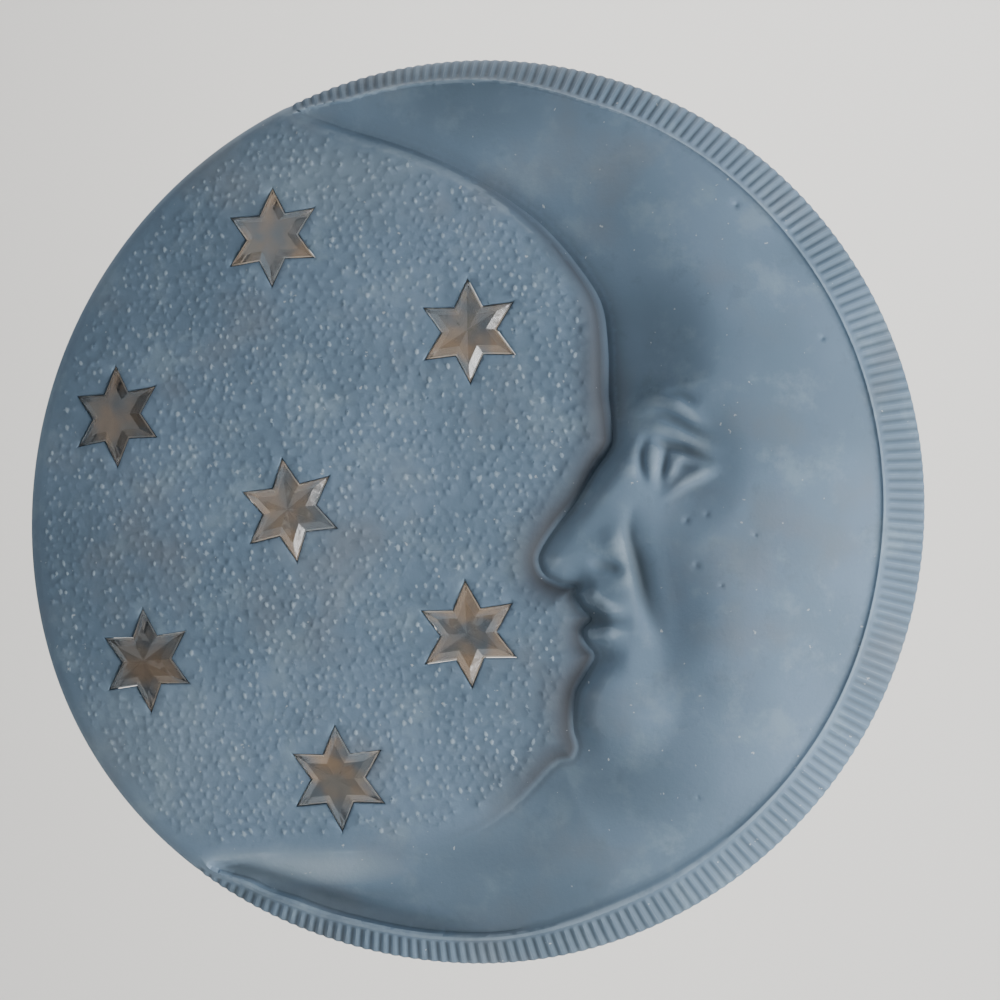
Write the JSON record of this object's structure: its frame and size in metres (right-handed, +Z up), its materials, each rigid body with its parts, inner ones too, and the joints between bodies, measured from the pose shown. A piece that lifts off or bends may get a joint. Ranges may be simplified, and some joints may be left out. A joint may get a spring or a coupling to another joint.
{
  "type": "celestial wall plaque",
  "caption": "Round cast-stone wall plaque of a crescent moon's profile face looking over a stippled sky with clear star inserts, and a reeded rim along the crescent.",
  "frame": {"origin": "on the face of the hanging pad at the back, in the plane of the wall, 10 mm under the middle of the nail hole", "axes": "X to the right as seen from the front, Y into the wall, Z up; the relief faces -Y"},
  "size_m": [0.3002, 0.0297, 0.2992],
  "materials": {
    "cast_stone": "matt blue-grey paint on cast stone",
    "clear_star": "clear, slightly warm cast glass or resin"
  },
  "bodies": {
    "root": {"moon_casting": "cast_stone", "star_top_left": "clear_star", "star_top_right": "clear_star", "star_far_left": "clear_star", "star_centre": "clear_star", "star_low_left": "clear_star", "star_mid_right": "clear_star", "star_bottom": "clear_star"}
  },
  "joints": []
}
